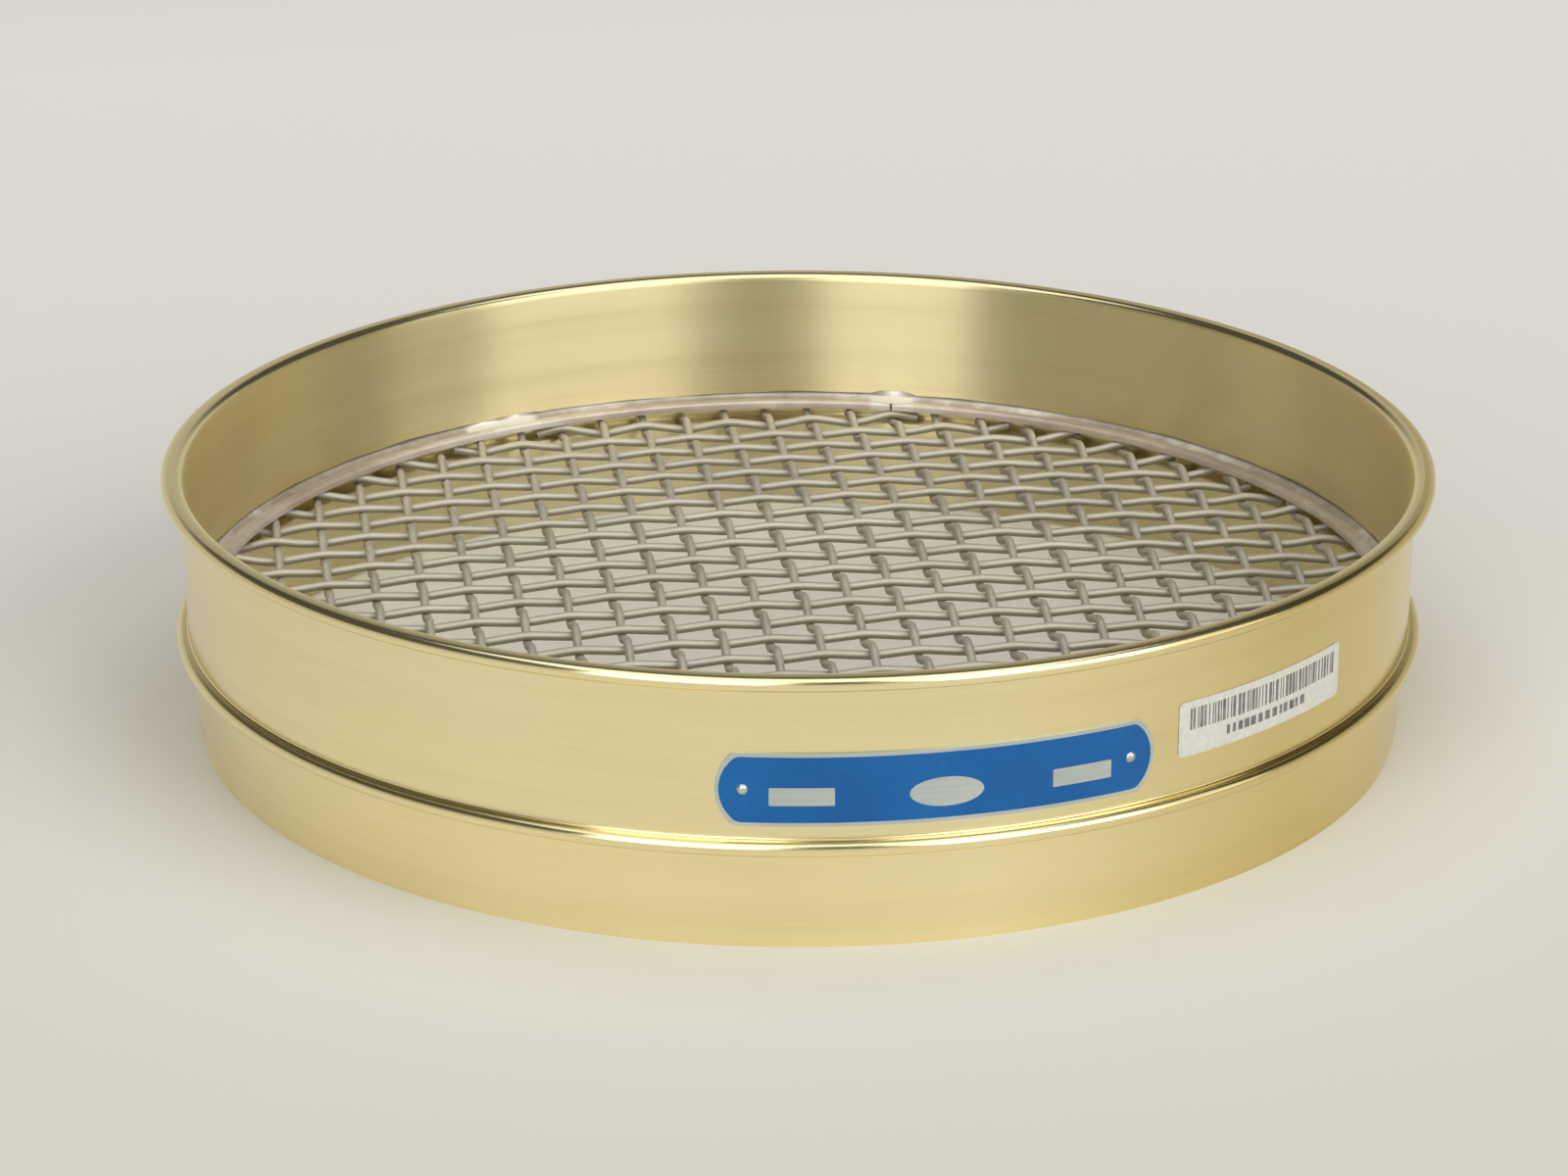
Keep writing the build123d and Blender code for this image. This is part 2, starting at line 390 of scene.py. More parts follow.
def frame_middle_line():
    """Middle line of the sheet, from the curled-under edge of the rim down to the foot."""
    wall = inside_radius + sheet / 2
    seat = wall - seat_draw
    skirt = inside_radius - nesting_clearance - sheet / 2
    foot = skirt - lead_in_depth
    rim_top = total_height - sheet / 2
    rim_under = total_height - rim_height + sheet / 2
    rim_bend = (rim_height - sheet) / 2
    rim_centre = inside_radius + rim_width - sheet / 2 - rim_bend
    rib_top = skirt_height + rib_height - sheet / 2
    rib_under = skirt_height + sheet / 2
    rib_bend = (rib_height - sheet) / 2
    rib_centre = wall_outside + rib_reach - sheet / 2 - rib_bend
    line = []
    line += straight((wall_outside + curl_gap, rim_under), (rim_centre, rim_under), 2)
    line += arc((rim_centre, rim_under + rim_bend), rim_bend, -90, 180, 16)
    line += arc((wall + rim_inner_bend, rim_top - rim_inner_bend), rim_inner_bend, 90, 90, 9)
    line += straight((wall, rim_top - rim_inner_bend), (wall, seat_level), 5)
    line += straight((wall, seat_level), (seat, rib_top + wall_bend), 2)
    line += arc((seat + wall_bend, rib_top + wall_bend), wall_bend, 180, 90, 7)
    line += arc((rib_centre, rib_under + rib_bend), rib_bend, 90, -180, 14)
    line += arc((skirt + ledge_bend, rib_under - ledge_bend), ledge_bend, 90, 90, 5)
    line += straight((skirt, rib_under - ledge_bend), (skirt, lead_in_height), 3)
    line += [(foot, foot_height), (foot, 0)]
    return drop_repeats(line)


def drop_repeats(line, least=0.004):
    """The same line without points that fall on the one before."""
    kept = [line[0]]
    for point in line[1:]:
        if abs(point[0] - kept[-1][0]) + abs(point[1] - kept[-1][1]) > least:
            kept.append(point)
    return kept


def thickened(line, thickness):
    """Closed outline of a sheet whose middle follows the line."""
    sides = ([], [])
    for number, point in enumerate(line):
        before = line[max(number - 1, 0)]
        after = line[min(number + 1, len(line) - 1)]
        first = Vector((point[0] - before[0], point[1] - before[1]))
        second = Vector((after[0] - point[0], after[1] - point[1]))
        first = first.normalized() if first.length else second.normalized()
        second = second.normalized() if second.length else first
        mean = (first + second).normalized()
        reach = thickness / 2 / max(mean.dot(first), 0.5)
        for side, points in zip((1, -1), sides):
            points.append((point[0] - mean.y * reach * side, point[1] + mean.x * reach * side))
    return sides[0] + sides[1][::-1]


# %% A tree that carries a section round the axis
weld_distance = 1e-7        # in metres


def make_turning_tree():
    """Carry a section, drawn as a closed line of (radius, 0, level), round the Z axis."""
    tree = new_tree("turn_round_axis", ("Start", "Sweep"), ("Columns", "Rows"))
    given = node(tree, "NodeGroupInput").outputs
    add, less, times, over = arithmetic(tree)
    grid = node(tree, "GeometryNodeMeshGrid", {
        "Size X": 1.0, "Size Y": 1.0, "Vertices X": given["Columns"], "Vertices Y": given["Rows"],
    })
    index = node(tree, "GeometryNodeInputIndex").outputs[0]
    column = calc(tree, "FLOOR", over(index, given["Rows"]))
    row = less(index, times(column, given["Rows"]))
    # The last row is the first again, which closes the section
    section = node(tree, "GeometryNodeSampleIndex", {
        "Geometry": given["Geometry"],
        "Value": node(tree, "GeometryNodeInputPosition").outputs[0],
        "Index": calc(tree, "MODULO", row, less(given["Rows"], 1.0)),
    }, data_type="FLOAT_VECTOR")
    radius, _, level = node(tree, "ShaderNodeSeparateXYZ", {0: section.outputs[0]}).outputs
    share = over(column, less(given["Columns"], 1.0))
    turn = add(given["Start"], times(share, given["Sweep"]))
    place = node(tree, "ShaderNodeCombineXYZ", {
        0: times(radius, calc(tree, "SINE", turn)),
        1: times(times(radius, calc(tree, "COSINE", turn)), -1.0),
        2: level,
    })
    moved = node(tree, "GeometryNodeSetPosition", {
        "Geometry": grid.outputs[0], "Position": place.outputs[0],
    })
    closed = node(tree, "GeometryNodeMergeByDistance", {
        "Geometry": moved.outputs[0], "Distance": weld_distance,
    })
    finish_tree(tree, closed.outputs[0], given["Material"])
    return tree


turning_tree = make_turning_tree()


def turned(name, outline, material, start=0.0, sweep=2 * pi, columns=361):
    """Mesh of a closed section carried round the axis. Open sweeps get flat ends."""
    seed = bpy.data.meshes.new(name + ".section")
    seed.from_pydata([(r * MM, 0, z * MM) for r, z in outline], [], [])
    mesh = run_tree(turning_tree, name, {
        "Start": start, "Sweep": sweep, "Columns": columns,
        "Rows": len(outline) + 1, "Material": material,
    }, seed)
    return close_and_face_out(mesh)


def face_out(work, mesh):
    """Turn every face outwards, and write the work to the mesh."""
    bmesh.ops.recalc_face_normals(work, faces=work.faces)
    if work.calc_volume(signed=True) < 0:
        bmesh.ops.reverse_faces(work, faces=work.faces)
    work.to_mesh(mesh)
    work.free()
    return mesh


def close_and_face_out(mesh):
    """Fill open ends, and turn every face outwards."""
    work = bmesh.new()
    work.from_mesh(mesh)
    bmesh.ops.remove_doubles(work, verts=work.verts, dist=weld_distance)
    open_edges = [edge for edge in work.edges if edge.is_boundary]
    if open_edges:
        bmesh.ops.holes_fill(work, edges=open_edges, sides=0)
    return face_out(work, mesh)


# %% The frame
frame_outline = thickened(frame_middle_line(), sheet)
frame_mesh = smooth(turned("spun_frame", frame_outline, brass, columns=481))
keep_mesh("spun_frame", frame_mesh, brass, ["sieve_frame"])

# %% [markdown]
# ## Wire cloth
#
# Plain-woven cloth has two families of wires at right angles. Every wire goes over one and under
# the next, and is crimped: bent where it crosses and straight between. Twenty-five wires each way
# follow one rule, so one Geometry Nodes tree draws a family. It lays out a grid of points, one row
# for each wire, pulls each row in to the length of its chord, and lifts each point by the crimp.
# A wire's neighbours bend the other way, which the row's parity gives. On the loom the warp is
# held loosely and bends more than the weft, but under the ring both are pressed to the same level.

# %% Steel wire
def make_wire_material():
    """Dull steel, pale where it faces up, with painted shade that darkens it underneath."""
    material, tree, shader = new_material("drawn_wire")
    fine, broad = object_noise(tree, 420.0, 3.0), object_noise(tree, 30.0, 2.0)
    colour = ramp(tree, blend(tree, (fine, 0.5), (broad, 0.5)), [
        (0.3, (0.46, 0.44, 0.37)), (0.5, (0.55, 0.525, 0.445)), (0.7, (0.63, 0.605, 0.52)),
    ])
    # Painted shade: the colour goes to a dark tone where the wire faces down, and stays pale where
    # it faces up
    normal = node(tree, "ShaderNodeNewGeometry").outputs["Normal"]
    upward = node(tree, "ShaderNodeSeparateXYZ", {0: normal}).outputs["Z"]
    painted_shade_blend = spread(tree, upward, 0.0, 1.0, -0.15, 0.45)
    colour = mix_colour(tree, painted_shade_blend, (0.33, 0.305, 0.235), colour)
    rough = spread(tree, fine, 0.56, 0.70)
    finish_shader(tree, shader, colour, rough, 0.85, (fine, 0.15, 0.00003))
    return material


wire_steel = make_wire_material()

wire_rows = int((ring_inside - wire_radius) // pitch)
bend_half = 2.1             # half the length of wire that is bent at a crossing
weft_share = 0.2            # how much of the crimp the weft takes. The warp takes the rest
steps_per_pitch = 12
wire_sides = 10
wire_crease = radians(50)   # a wire's cut ends are sharper than this


# %% A tree that weaves one family of wires
def make_weaving_tree():
    """Lay out the rows, cut each to its chord, and lift every point by the crimp and the crown."""
    tree = new_tree("weave_one_family", (
        "Turn", "Side", "Pitch", "Wire Radius", "Cloth Radius", "Bend Half", "Crimp Share",
        "Ring Inside", "Middle Level", "Crown", "Crown Radius",
    ), ("Rows", "Steps", "Sides"))
    given = node(tree, "NodeGroupInput").outputs
    add, less, times, over = arithmetic(tree)
    # One straight wire of unit length, repeated for each row
    unit = node(tree, "GeometryNodeMeshLine", {
        "Count": given["Steps"], "Start Location": (-1, 0, 0), "Offset": (1, 0, 0),
    }, mode="END_POINTS")
    curve = node(tree, "GeometryNodeMeshToCurve", {"Mesh": unit.outputs[0]})
    lines = node(tree, "GeometryNodeDuplicateElements", {
        "Geometry": curve.outputs[0], "Amount": add(times(given["Rows"], 2.0), 1.0),
    }, domain="SPLINE")
    numbered = node(tree, "GeometryNodeStoreNamedAttribute", {
        "Geometry": lines.outputs["Geometry"], "Name": "row",
        "Value": less(lines.outputs["Duplicate Index"], given["Rows"]),
    }, data_type="FLOAT", domain="CURVE")
    stored = node(tree, "GeometryNodeInputNamedAttribute", {"Name": "row"}, data_type="FLOAT")
    row = stored.outputs[0]
    across = times(row, given["Pitch"])
    flank = add(calc(tree, "ABSOLUTE", across), given["Wire Radius"])
    square = times(given["Cloth Radius"], given["Cloth Radius"])
    chord = calc(tree, "SQRT", less(square, times(flank, flank)))
    position = node(tree, "GeometryNodeInputPosition").outputs[0]
    along = times(node(tree, "ShaderNodeSeparateXYZ", {0: position}).outputs[0], chord)
    # Distance to the nearest crossing, and which way the wire bends there
    step = calc(tree, "ROUND", over(along, given["Pitch"]))
    away = calc(tree, "ABSOLUTE", less(along, times(step, given["Pitch"])))
    sign = less(1.0, times(calc(tree, "PINGPONG", add(step, row), 1.0), 2.0))
    # A bend is a parabola, and the run between two bends is straight
    half_pitch = over(given["Pitch"], 2.0)
    slope = over(given["Wire Radius"], less(half_pitch, over(given["Bend Half"], 2.0)))
    fall = times(over(slope, times(given["Bend Half"], 2.0)), times(away, away))
    bent = less(given["Wire Radius"], fall)
    run = times(slope, less(half_pitch, away))
    inside = calc(tree, "LESS_THAN", away, given["Bend Half"])
    lift = add(times(bent, inside), times(run, less(1.0, inside)))
    lift = times(times(lift, sign), given["Side"])
    # Away from the ring, one family takes more of the crimp and the other less
    reach = distance(tree, along, across)
    share = spread(
        tree, reach, given["Crimp Share"], 0.5, given["Crown Radius"], given["Ring Inside"],
    )
    lift = times(lift, times(share, 2.0))
    # Turn the family about the axis, and crown the cloth
    cosine, sine = calc(tree, "COSINE", given["Turn"]), calc(tree, "SINE", given["Turn"])
    far = over(reach, given["Crown Radius"])
    crown = times(given["Crown"], calc(tree, "MAXIMUM", less(1.0, times(far, far)), 0.0))
    place = node(tree, "ShaderNodeCombineXYZ", {
        0: less(times(along, cosine), times(across, sine)),
        1: add(times(along, sine), times(across, cosine)),
        2: add(add(given["Middle Level"], crown), lift),
    })
    woven = node(tree, "GeometryNodeSetPosition", {
        "Geometry": numbered.outputs[0], "Position": place.outputs[0],
    })
    upright = node(tree, "GeometryNodeSetCurveNormal", {"Curve": woven.outputs[0]}, mode="Z_UP")
    circle = node(tree, "GeometryNodeCurvePrimitiveCircle", {
        "Resolution": given["Sides"], "Radius": given["Wire Radius"],
    })
    tube = node(tree, "GeometryNodeCurveToMesh", {
        "Curve": upright.outputs[0], "Profile Curve": circle.outputs[0], "Fill Caps": True,
    })
    finish_tree(tree, tube.outputs[0], given["Material"])
    return tree


weaving_tree = make_weaving_tree()


# %% Weave the cloth
def weave(name, turn, side, share, node_stem):
    """Weave one family, which passes to its own side of the cloth at every second crossing."""
    mesh = run_tree(weaving_tree, name, {
        "Turn": turn, "Side": side, "Rows": wire_rows, "Pitch": pitch * MM,
        "Wire Radius": wire_radius * MM, "Cloth Radius": cloth_radius * MM,
        "Bend Half": bend_half * MM, "Middle Level": cloth_middle * MM,
        "Crimp Share": share, "Ring Inside": ring_inside * MM,
        "Crown": cloth_crown * MM, "Crown Radius": crown_radius * MM,
        "Steps": int(2 * cloth_radius / pitch * steps_per_pitch), "Sides": wire_sides,
        "Material": wire_steel,
    })
    nodes = [f"{node_stem}_{number:02d}" for number in range(1, 2 * wire_rows + 2)]
    mesh = smooth(close_and_face_out(mesh), wire_crease)
    keep_mesh(name, mesh, wire_steel, nodes)


weave("weft_wires", cloth_turn, 1.0, weft_share, "weft_wire")
weave("warp_wires", cloth_turn + pi / 2, -1.0, 1 - weft_share, "warp_wire")

# %% [markdown]
# ## Retaining ring and solder
#
# The ring is a tinned bar, bent round until its ends nearly meet. It lies on the cloth, and soft
# solder is run round the corner between it and the wall. Solder freezes uneven: the run is wider
# in some places than others, and it stands up in a lump over the open joint. The ring is turned
# like the frame, with a gap left in its sweep. The run of solder is turned too, and its width and
# height then vary with the angle by a sum of slow waves, the same on every run of the script.

# %% Tinned metal and solder
painted_highlight_half = radians(2.6)  # half the width of a painted highlight
edge_start = 0.7            # the dark upper edge, above the ring
edge_end = 1.2


def nearness(tree, angles):
    """How near a place round the wall is to any of the angles, 0 to 1."""
    _, less, _, over = arithmetic(tree)
    total = 0.0
    for degrees_round in angles:
        away = less(polar(tree)[0], radians(degrees_round - 90))
        near = less(1.0, over(calc(tree, "ABSOLUTE", away), painted_highlight_half))
        total = calc(tree, "MAXIMUM", near, total)
    return total


def make_dull_metal(name, dark, middle, light, rough, grain, painted_highlight_angles):
    """Tinned or soldered metal: uneven in gloss, with painted highlights near the given angles."""
    material, tree, shader = new_material(name)
    fine, patches = object_noise(tree, grain, 4.0), object_noise(tree, grain / 8, 2.0)
    edge = spread(
        tree, polar(tree)[2], 0.0, 1.0, (ring_top + edge_start) * MM, (ring_top + edge_end) * MM,
    )
    # Painted highlights: the colour is lighter near each of the given angles round the ring
    near = nearness(tree, painted_highlight_angles)
    tone = blend(tree, (fine, 0.4), (patches, 0.6), (edge, -0.5), (near, 0.7))
    colour = ramp(tree, tone, [
        (0.0, [channel * 0.4 for channel in dark]), (0.3, dark), (0.5, middle), (0.7, light),
    ])
    gloss = spread(tree, patches, rough - 0.08, rough + 0.08)
    finish_shader(tree, shader, colour, gloss, 0.6, (fine, 0.35, 0.0002))
    return material


ring_metal = make_dull_metal(
    "tinned_ring", (0.44, 0.38, 0.33), (0.58, 0.51, 0.45), (0.74, 0.70, 0.65), 0.50, 160.0,
    (joint_angle, 200.0),
)
solder_metal = make_dull_metal(
    "soft_solder", (0.34, 0.30, 0.26), (0.48, 0.43, 0.38), (0.80, 0.80, 0.77), 0.52, 220.0,
    (joint_angle, second_lump_angle, 203.0),
)

# %% The ring
ring_edge = 0.8             # rounding of the bar's upper inner edge
ring_corner = 0.25          # rounding of its other edges
joint_gap = 0.6             # between the ends of the bar
gap_turn = joint_gap / ring_inside


def bar_outline():
    """Section of the bar, with its upper inner edge well rounded."""
    line = arc((ring_inside + ring_edge, ring_top - ring_edge), ring_edge, 180, -90, 6)
    line += arc((ring_outside - ring_corner, ring_top - ring_corner), ring_corner, 90, -90, 3)
    line += arc((ring_outside - ring_corner, ring_level + ring_corner), ring_corner, 0, -90, 3)
    line += arc((ring_inside + ring_corner, ring_level + ring_corner), ring_corner, -90, -90, 3)
    return drop_repeats(line)


ring_mesh = turned(
    "bent_ring", bar_outline(), ring_metal,
    radians(joint_angle) + gap_turn / 2, 2 * pi - gap_turn, 361,
)
keep_mesh("bent_ring", smooth(ring_mesh), ring_metal, ["retaining_ring"])

# %% The run of solder
seam_wall_gap = 0.05
seam_outside = inside_radius - seat_draw - seam_wall_gap
seam_height = 1.4
seam_width = 2.2
lump_height = 2.4
lump_width = 4.5
lump_half = 5.5             # half the lump's length round the ring
second_lump_half = 7.0
second_lump_share = 0.5     # how full the second lump is


def seam_waves(turn):
    """Slow unevenness of the run, about -1 to 1."""
    return 0.45 * sin(7 * turn + 1.0) + 0.3 * sin(17 * turn + 2.0) + 0.25 * sin(41 * turn + 0.5)


def lump_share(turn, angle, half):
    """How much of a lump stands at this turn, 0 to 1."""
    away = (turn - radians(angle) + pi) % (2 * pi) - pi
    share = max(0.0, 1 - (away * ring_inside / half) ** 2)
    return sqrt(share)


def shape_solder(mesh):
    """Widen and raise the run by angle. The mesh comes in with a section 1 mm wide and high."""
    for vertex in mesh.vertices:
        x, y, z = vertex.co / MM
        turn = atan2(x, -y)
        inward = seam_outside - sqrt(x * x + y * y)
        upward = z - ring_top
        wave = seam_waves(turn)
        lump = max(
            lump_share(turn, joint_angle, lump_half),
            lump_share(turn, second_lump_angle, second_lump_half) * second_lump_share,
        )
        width = seam_width * (0.95 + 0.3 * wave) * (1 - lump) + lump_width * lump
        height = seam_height * (0.9 + 0.25 * wave) * (1 - lump) + lump_height * lump
        # The run is hollow, and a lump is full
        fill = 1 + 0.9 * lump * min(inward, upward)
        radius = seam_outside - inward * width * fill
        vertex.co = around(turn, radius, ring_top + upward * height * fill)
    mesh.update()
    return mesh


solder_outline = [(seam_outside, ring_top)]
solder_outline += arc((seam_outside - 1, ring_top + 1), 1, 0, -90, 6)
solder_mesh = shape_solder(turned("solder_run", solder_outline, solder_metal, columns=721))
keep_mesh("solder_run", smooth(solder_mesh, radians(60)), solder_metal, ["solder_seam"])

# %% [markdown]
# ## Nameplate
#
# The real plate is a strip of bare metal printed blue, with its border and three windows left
# bare, rolled to the wall and held by two rivets. Here the metal and the print are two pieces.
# Each is drawn flat, as a filled outline with holes, cut into narrow strips so that it can bend,
# and then rolled to its radius, which is how the real one is made.

# %% Drawing flat pieces and rolling them
def rounded_box(centre, width, height, corner, steps=5):
    """Outline of a rectangle with rounded corners."""
    right, top = width / 2 - corner, height / 2 - corner
    line = []
    for start, x, y in ((0, 1, 1), (90, -1, 1), (180, -1, -1), (270, 1, -1)):
        middle = (centre[0] + right * x, centre[1] + top * y)
        line += arc(middle, corner, start, 90, steps)
    return drop_repeats(line)


def ellipse(centre, width, height, steps=48):
    """Outline of an ellipse."""
    circle = arc((0, 0), 0.5, 0, 360, steps)[:-1]
    return [(centre[0] + width * x, centre[1] + height * y) for x, y in circle]


def rolled_sheet(name, outlines, inner_radius, thickness, strip=1.5):
    """Solid sheet between two radii. The first outline is its edge, and the others are holes."""
    work = bmesh.new()
    edges = []
    for outline in outlines:
        corners = [work.verts.new((x, y, 0)) for x, y in outline]
        for first, second in zip(corners, corners[1:] + corners[:1]):
            edges.append(work.edges.new((first, second)))
    bmesh.ops.triangle_fill(work, use_beauty=True, use_dissolve=False, edges=edges)
    cut = min(outlines[0])[0] + strip
    while cut < max(outlines[0])[0]:
        bmesh.ops.bisect_plane(
            work, geom=[*work.verts, *work.edges, *work.faces], dist=1e-6,
            plane_co=(cut, 0, 0), plane_no=(1, 0, 0),
        )
        cut += strip
    bmesh.ops.recalc_face_normals(work, faces=work.faces)
    made = bmesh.ops.extrude_face_region(work, geom=list(work.faces))
    for item in made["geom"]:
        if isinstance(item, bmesh.types.BMVert):
            item.co.z = thickness
    for vertex in work.verts:
        along, level, depth = vertex.co
        vertex.co = rolled(along, level, inner_radius + depth)
    return smooth(face_out(work, bpy.data.meshes.new(name)))


# %% Metal and print of the plate
def make_plate_metal():
    """Bare metal, lightly brushed along the plate."""
    material, tree, shader = new_material("plate_metal")
    lines = stretched_noise(tree, 12, 1500, 2.0)
    tone = blend(tree, (lines, 0.5), (object_noise(tree, 60.0, 2.0), 0.5))
    colour = ramp(tree, tone, [(0.3, (0.40, 0.45, 0.45)), (0.7, (0.51, 0.56, 0.55))])
    finish_shader(tree, shader, colour, spread(tree, lines, 0.38, 0.5), 0.6)
    return material


def make_blue_print():
    """Blue printing ink, with little shine."""
    material, tree, shader = new_material("blue_print")
    fine, broad = object_noise(tree, 900.0, 2.0), object_noise(tree, 45.0, 2.0)
    colour = ramp(tree, blend(tree, (fine, 0.35), (broad, 0.65)), [
        (0.3, (0.002, 0.085, 0.30)), (0.7, (0.004, 0.120, 0.39)),
    ])
    rough = spread(tree, broad, 0.40, 0.50)
    finish_shader(tree, shader, colour, rough, relief=(fine, 0.1, 0.00003))
    shader.inputs["Specular IOR Level"].default_value = 0.3
    return material


plate_metal = make_plate_metal()
blue_print = make_blue_print()

# %% The plate and its print
plate_length = 102.4
plate_height = 17.4
plate_thickness = 0.5
plate_level = 39.2
plate_bow = 4.0             # bulge of each rounded end
plate_corner = 1.0
plate_gap = 0.01            # plate to the wall
border = 0.9                # bare metal round the print
print_thickness = 0.03
rivet_inset = 6.0           # rivet to the end of the plate
window_centres = (-31.85, 0.5, 32.6)
window_width = 14.6
window_height = 4.3
window_corner = 0.3
window_level = plate_level - 1.6
oval_width = 16.9
oval_height = 7.0


def plate_outline(inset):
    """Outline of the plate: straight long sides and bowed ends with small corners."""
    half = plate_length / 2 - inset
    tall = plate_height / 2 - inset
    bow_radius = (plate_bow ** 2 + tall ** 2) / (2 * plate_bow)
    reach = atan2(tall, bow_radius - plate_bow)
    line = []
    steps = 16
    for side in (1, -1):
        for step in range(steps + 1):
            turn = reach * (2 * step / steps - 1) * side
            x = side * (half - bow_radius + bow_radius * cos(turn))
            line.append((x, plate_level + bow_radius * sin(turn)))
    return rounded_corners(line, plate_corner)


def rounded_corners(line, radius, steps=4):
    """Cut each sharp corner of a closed outline with a short curve."""
    made = []
    for number, point in enumerate(line):
        before, after = Vector(line[number - 1]), Vector(line[(number + 1) % len(line)])
        here = Vector(point)
        to_before, to_after = before - here, after - here
        if to_before.angle(to_after) > radians(150):
            made.append(point)
            continue
        start, end = (
            here + side.normalized() * min(radius, side.length * 0.9)
            for side in (to_before, to_after)
        )
        for share in [step / steps for step in range(steps + 1)]:
            bend = start * (1 - share) ** 2 + here * 2 * share * (1 - share) + end * share ** 2
            made.append((bend.x, bend.y))
    return drop_repeats(made)


plate_inside = wall_outside + plate_gap
plate_mesh = rolled_sheet("plate_blank", [plate_outline(0)], plate_inside, plate_thickness)
keep_mesh("plate_blank", plate_mesh, plate_metal, ["nameplate"])

left_window, right_window = (
    rounded_box((centre, window_level), window_width, window_height, window_corner)
    for centre in (window_centres[0], window_centres[2])
)
oval = ellipse((window_centres[1], window_level), oval_width, oval_height)
print_outlines = [plate_outline(border), left_window, oval, right_window]
print_mesh = rolled_sheet(
    "plate_print", print_outlines, plate_inside + plate_thickness, print_thickness,
)
keep_mesh("plate_print", print_mesh, blue_print, [])


# %% Rivets
def make_rivet_metal():
    """Bright metal, dulled a little by handling."""
    material, tree, shader = new_material("rivet_metal")
    noise = object_noise(tree, 700.0, 3.0)
    colour = ramp(tree, noise, [(0.3, (0.40, 0.45, 0.48)), (0.7, (0.55, 0.60, 0.63))])
    finish_shader(tree, shader, colour, spread(tree, noise, 0.28, 0.4), 1.0)
    return material


rivet_metal = make_rivet_metal()
rivet_radius = 0.75
rivet_head_radius = 1.3
rivet_head_height = 0.7
rivet_tail_radius = 1.15
rivet_tail_height = 0.4
rivet_play = 0.04           # added to the grip, shared by head and tail


def rivet_section():
    """Half section of a set rivet, as (radius, height above the plate)."""
    grip = plate_thickness + sheet + rivet_play
    rise = rivet_head_height
    sphere = (rivet_head_radius ** 2 + rise ** 2) / (2 * rise)
    edge = atan2(rivet_head_radius, sphere - rise)
    steps = 7
    turns = [edge * step / steps for step in range(steps + 1)]
    dome = [(sphere * sin(turn), sphere * cos(turn) - sphere + rise) for turn in turns]
    end = -grip - rivet_tail_height
    shoulder = -grip - 0.6 * rivet_tail_height
    return dome + [
        (rivet_radius, 0.0), (rivet_radius, -grip), (rivet_tail_radius, -grip),
        (rivet_tail_radius, shoulder), (0.8 * rivet_tail_radius, end), (0.0, end),
    ]


def make_rivet(name, turn, node_name):
    """Spin the section, then stand it square to the wall."""
    work = bmesh.new()
    corners = [work.verts.new((r, 0, z)) for r, z in rivet_section()]
    edges = [work.edges.new(pair) for pair in zip(corners, corners[1:])]
    bmesh.ops.spin(
        work, geom=corners + edges, cent=(0, 0, 0), axis=(0, 0, 1), angle=2 * pi, steps=28,
    )
    bmesh.ops.remove_doubles(work, verts=work.verts, dist=1e-5)
    seat = around(turn, wall_outside + plate_thickness + rivet_play, plate_level)
    side, out = around(turn + pi / 2, 1, 0).normalized(), around(turn, 1, 0).normalized()
    stand = Matrix((side, Vector((0, 0, 1)), out)).transposed().to_4x4()
    work.transform(Matrix.Translation(seat) @ stand @ Matrix.Scale(MM, 4))
    mesh = face_out(work, bpy.data.meshes.new(name))
    keep_mesh(name, smooth(mesh), rivet_metal, [node_name])


rivet_turn = (plate_length / 2 - rivet_inset) / (wall_outside + plate_thickness)
make_rivet("rivet_left", -rivet_turn, "nameplate_rivet_left")
make_rivet("rivet_right", rivet_turn, "nameplate_rivet_right")

# %% [markdown]
# ## Paper label
#
# The label is thin paper, pasted to the wall. Its print is a row of plain bars and a row of small
# blocks, laid out by a fixed seed: it stands for a stock label and says nothing.

# %% Paper and ink
def make_paper():
    """Uncoated label paper."""
    material, tree, shader = new_material("label_paper")
    fibre = object_noise(tree, 700.0, 4.0)
    colour = ramp(tree, fibre, [(0.3, (0.56, 0.57, 0.535)), (0.7, (0.65, 0.66, 0.625))])
    rough = spread(tree, fibre, 0.55, 0.7)
    finish_shader(tree, shader, colour, rough, relief=(fibre, 0.3, 0.00004))
    return material


def make_ink():
    """Black ink that has faded unevenly."""
    material, tree, shader = new_material("label_ink")
    fade = object_noise(tree, 500.0, 2.0)
    colour = ramp(tree, fade, [(0.3, (0.10, 0.10, 0.11)), (0.7, (0.22, 0.22, 0.23))])
    finish_shader(tree, shader, colour, spread(tree, fade, 0.5, 0.65))
    return material


paper = make_paper()
ink = make_ink()

# %% The label and its bars
label_length = 57.0
label_height = 13.2
label_corner = 1.2
label_thickness = 0.15
label_paste = 0.05
label_level = 42.4
label_angle = 32.5
label_middle = radians(label_angle) * wall_outside
bar_margins = (3.2, 3.0)    # left and right of the row of bars
bar_height = 5.2
bar_level = label_level + 2.2
block_reach = 14.0          # the row of blocks, to each side of the middle
block_height = 2.2
block_level = label_level - 3.0
ink_corner = 0.05
ink_thickness = 0.02

label_outline = rounded_box(
    (label_middle, label_level), label_length, label_height, label_corner,
)
label_mesh = rolled_sheet(
    "paper_label", [label_outline], wall_outside + label_paste, label_thickness,
)
keep_mesh("paper_label", label_mesh, paper, ["stock_label"])


def row_of_boxes(chance, start, end, level, height, widths, gaps):
    """Boxes side by side, as (middle, level, width, height)."""
    boxes = []
    along = start
    while along < end:
        width = chance.choice(widths)
        boxes.append((along + width / 2, level, width, height))
        along += width + chance.choice(gaps)
    return boxes


